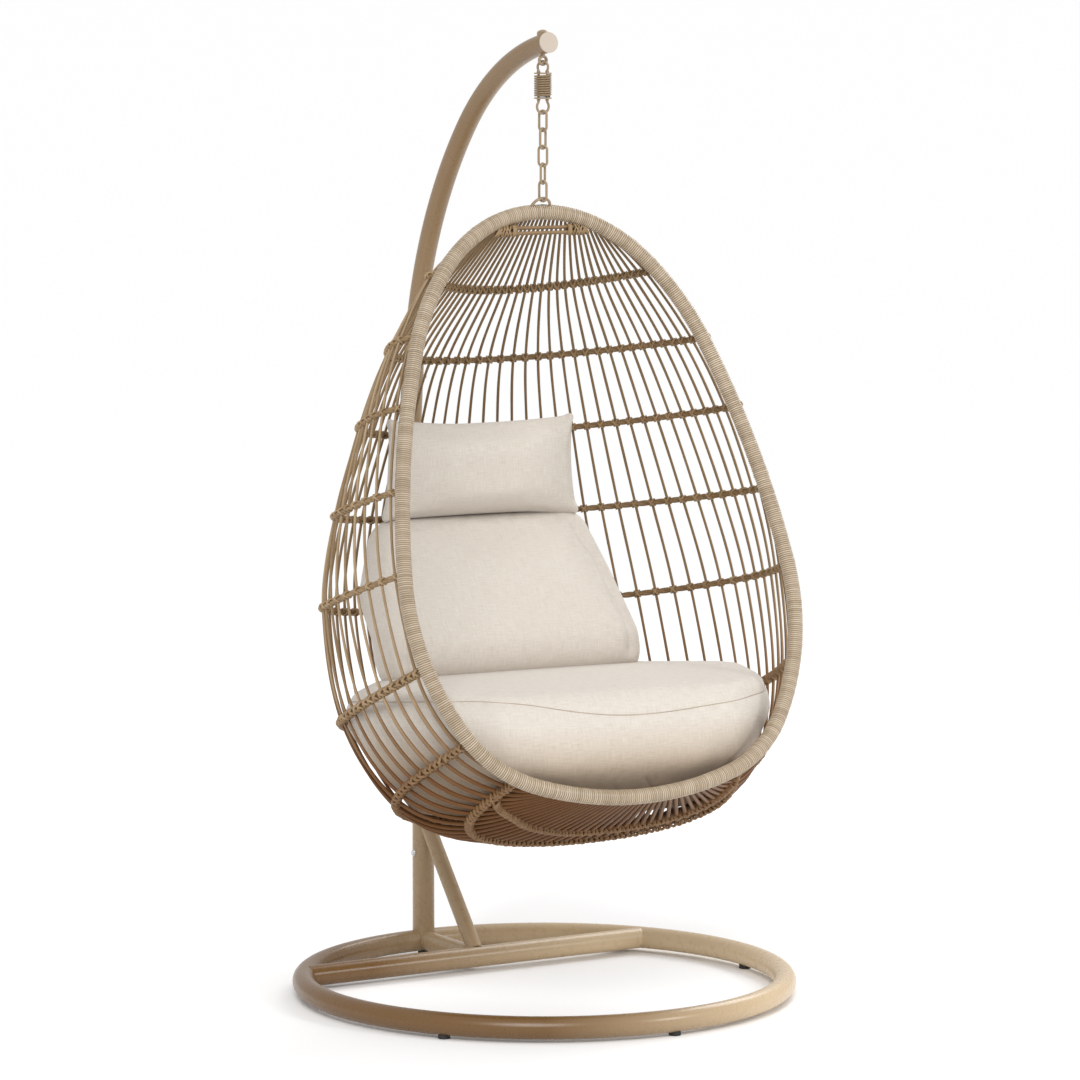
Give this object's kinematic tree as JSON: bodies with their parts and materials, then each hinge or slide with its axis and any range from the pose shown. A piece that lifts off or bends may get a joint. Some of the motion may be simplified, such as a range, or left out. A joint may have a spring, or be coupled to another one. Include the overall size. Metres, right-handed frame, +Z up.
{
  "type": "hanging egg chair",
  "caption": "Egg-shaped wicker basket seat with cushions, hung by a spring and chain from a curved pole on a round floor ring.",
  "frame": {"origin": "floor level, under the middle of the whole chair's footprint", "axes": "+Z up; the open front of the basket faces -Y and the pole stands at +Y; +X is to the right as seen from the front"},
  "size_m": [1.0169, 1.0727, 1.937],
  "materials": {
    "stand_paint": "satin tan powder coat",
    "zinc_bolts": "zinc plated",
    "foot_rubber": "matt black",
    "hanger_paint": "satin tan powder coat",
    "frame_steel": "hidden under the winding",
    "rim_wicker": "half-round resin wicker wound tightly round the tube",
    "cane_wicker": "round resin wicker, satin",
    "linen": "coarse cream linen weave"
  },
  "bodies": {
    "stand": {"base_ring": "stand_paint", "foot_tube": "stand_paint", "cross_bar": "stand_paint", "diagonal_brace": "stand_paint", "post_stub": "stand_paint", "lower_post": "stand_paint", "lower_arm": "stand_paint", "upper_arm": "stand_paint", "arm_crook": "stand_paint", "arm_end_cap": "stand_paint", "post_bolt": "zinc_bolts", "post_bolt_nut": "zinc_bolts", "arm_bolt": "zinc_bolts", "arm_bolt_nut": "zinc_bolts", "foot_pads": "foot_rubber", "eye_bolt_washer": "hanger_paint"},
    "swivel_eye": {"eye_bolt": "hanger_paint", "eye_bolt_cap_nut": "hanger_paint"},
    "spring_hanger": {"spring_top_loop": "hanger_paint", "spring_lower_seat": "hanger_paint", "spring_coil": "hanger_paint"},
    "spring_slide": {"spring_bottom_loop": "hanger_paint", "spring_upper_seat": "hanger_paint"},
    "link_1": {"chain_link_1": "hanger_paint"},
    "link_2": {"chain_link_2": "hanger_paint"},
    "link_3": {"chain_link_3": "hanger_paint"},
    "link_4": {"chain_link_4": "hanger_paint"},
    "link_5": {"chain_link_5": "hanger_paint"},
    "basket": {"basket_eye": "hanger_paint", "rim_tube": "frame_steel", "rim_wrap": "rim_wicker", "top_bar": "cane_wicker", "left_canes_1": "cane_wicker", "left_canes_2": "cane_wicker", "left_canes_3": "cane_wicker", "back_canes_1": "cane_wicker", "back_canes_2": "cane_wicker", "back_canes_3": "cane_wicker", "right_canes_1": "cane_wicker", "right_canes_2": "cane_wicker", "right_canes_3": "cane_wicker", "band_1": "cane_wicker", "band_2": "cane_wicker", "band_3": "cane_wicker", "band_4": "cane_wicker", "band_5": "cane_wicker", "band_6": "cane_wicker", "band_7": "cane_wicker", "band_8": "cane_wicker", "front_band": "cane_wicker", "seat_cushion": "linen", "back_cushion": "linen", "head_pillow": "linen"}
  },
  "joints": [
    {"name": "basket_swivel", "type": "hinge", "parent": "stand", "child": "swivel_eye", "pos_m": [0, -0.022, 1.93], "axis": [0, 0, 1], "range_deg": [-30, 30]},
    {"name": "fore_aft_swing", "type": "hinge", "parent": "swivel_eye", "child": "spring_hanger", "pos_m": [0, -0.022, 1.8685], "axis": [1, 0, 0], "range_deg": [-14, 2]},
    {"name": "spring_bounce", "type": "slide", "parent": "spring_hanger", "child": "spring_slide", "axis": [0, 0, 1], "range_m": [-0.008, 0], "stiffness_N_per_m": 90000, "springref_m": 0.0017, "deforming": ["spring_coil"]},
    {"name": "side_swing", "type": "hinge", "parent": "spring_slide", "child": "link_1", "pos_m": [0, -0.022, 1.7713], "axis": [0, 1, 0], "range_deg": [-5, 5]},
    {"name": "link_2_sway", "type": "hinge", "parent": "link_1", "child": "link_2", "pos_m": [0, -0.022, 1.73652], "axis": [0.4695, -0.8829, 0], "range_deg": [-0.5, 0.5]},
    {"name": "link_3_sway", "type": "hinge", "parent": "link_2", "child": "link_3", "pos_m": [0, -0.022, 1.70174], "axis": [0.9397, 0.342, 0], "range_deg": [-0.5, 0.5]},
    {"name": "link_4_sway", "type": "hinge", "parent": "link_3", "child": "link_4", "pos_m": [0, -0.022, 1.66696], "axis": [0.7547, -0.6561, 0], "range_deg": [-0.5, 0.5]},
    {"name": "link_5_sway", "type": "hinge", "parent": "link_4", "child": "link_5", "pos_m": [0, -0.022, 1.63218], "axis": [0.866, 0.5, 0], "range_deg": [-0.5, 0.5]},
    {"name": "basket_sway", "type": "hinge", "parent": "link_5", "child": "basket", "pos_m": [0, -0.022, 1.5974], "axis": [0.454, -0.891, 0], "range_deg": [-0.5, 0.5]}
  ]
}
